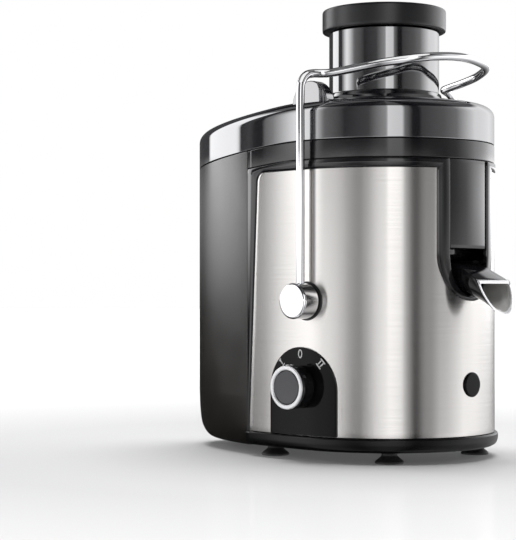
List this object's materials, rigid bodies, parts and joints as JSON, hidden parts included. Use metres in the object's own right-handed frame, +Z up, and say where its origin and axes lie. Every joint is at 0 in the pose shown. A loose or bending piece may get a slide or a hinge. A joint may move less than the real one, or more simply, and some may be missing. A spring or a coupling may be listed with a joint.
{
  "type": "centrifugal juicer",
  "caption": "Upright centrifugal juicer: brushed steel front, wide feed chute with pusher, swinging locking bail, rear pulp container, short spout and one rotary knob.",
  "frame": {"origin": "on the counter plane under the middle of the bounding box", "axes": "+Z up along the spindle, +X towards the juice spout, -Y towards the control knob, -X towards the pulp container"},
  "size_m": [0.3296, 0.2204, 0.3716],
  "materials": {
    "black_gloss": "glossy black ABS",
    "black_satin": "satin black plastic",
    "smoke": "smoky dark warm grey plastic, satin",
    "dark_grey": "dark grey satin plastic",
    "silver": "bright silver lacquer on plastic",
    "chrome": "polished chrome",
    "steel": "stainless steel brushed around the body",
    "rubber": "soft black rubber",
    "iron": "plain machined steel and iron",
    "copper": "copper and brass"
  },
  "bodies": {
    "base": {"base_skirt": "black_gloss", "motor_housing": "black_gloss", "knob_panel": "black_gloss", "front_badge": "black_gloss", "lid": "black_gloss", "juice_bowl": "black_gloss", "spout": "black_gloss", "bottom_cover": "black_satin", "rotary_switch": "dark_grey", "lock_switch_left": "dark_grey", "lock_switch_right": "dark_grey", "steel_panel": "steel", "shaft_seal": "rubber", "cord_gland": "rubber", "suction_foot_1": "rubber", "suction_foot_2": "rubber", "suction_foot_3": "rubber", "suction_foot_4": "rubber", "motor_mount_1": "rubber", "motor_mount_2": "rubber", "motor_mount_3": "rubber", "motor_mount_4": "rubber", "stator": "iron", "lower_bearing": "iron", "upper_bearing": "iron", "lower_bracket": "iron", "upper_bracket": "iron", "motor_bolt_1": "iron", "motor_bolt_2": "iron", "bottom_screw_1": "iron", "bottom_screw_2": "iron", "bottom_screw_3": "iron", "bottom_screw_4": "iron", "brush_holder_1": "copper", "brush_holder_2": "copper"},
    "locking_arm": {"locking_arm": "chrome", "arm_hub_left": "chrome", "arm_hub_right": "chrome", "arm_pin_left": "iron", "arm_pin_right": "iron"},
    "speed_knob": {"knob_body": "black_gloss", "knob_ring": "silver", "knob_cap": "dark_grey", "knob_shaft": "iron"},
    "pusher": {"pusher_body": "smoke", "pusher_cap": "black_gloss"},
    "spindle": {"filter_basket": "steel", "grating_disc": "steel", "drive_coupling": "black_satin", "motor_shaft": "iron", "rotor": "iron", "commutator": "copper", "cooling_fan": "black_satin"},
    "pulp_container": {"pulp_container": "smoke"}
  },
  "joints": [
    {"name": "locking_arm_hinge", "type": "hinge", "parent": "base", "child": "locking_arm", "pos_m": [0.0364, 0.0002, 0.129], "axis": [0, 1, 0], "range_deg": [0, 90]},
    {"name": "speed_knob_turn", "type": "hinge", "parent": "base", "child": "speed_knob", "pos_m": [0.0304, -0.0943, 0.06], "axis": [0, -1, 0], "range_deg": [-45, 45]},
    {"name": "pusher_slide", "type": "slide", "parent": "base", "child": "pusher", "axis": [0, 0, 1], "range_m": [0, 0.12]},
    {"name": "spindle_spin", "type": "hinge", "parent": "base", "child": "spindle", "pos_m": [0.0394, 0.0002, 0.186], "axis": [0, 0, 1], "continuous": true},
    {"name": "pulp_container_slide", "type": "slide", "parent": "base", "child": "pulp_container", "axis": [-0.9972, 0, -0.0748], "range_m": [0, 0.07]}
  ]
}
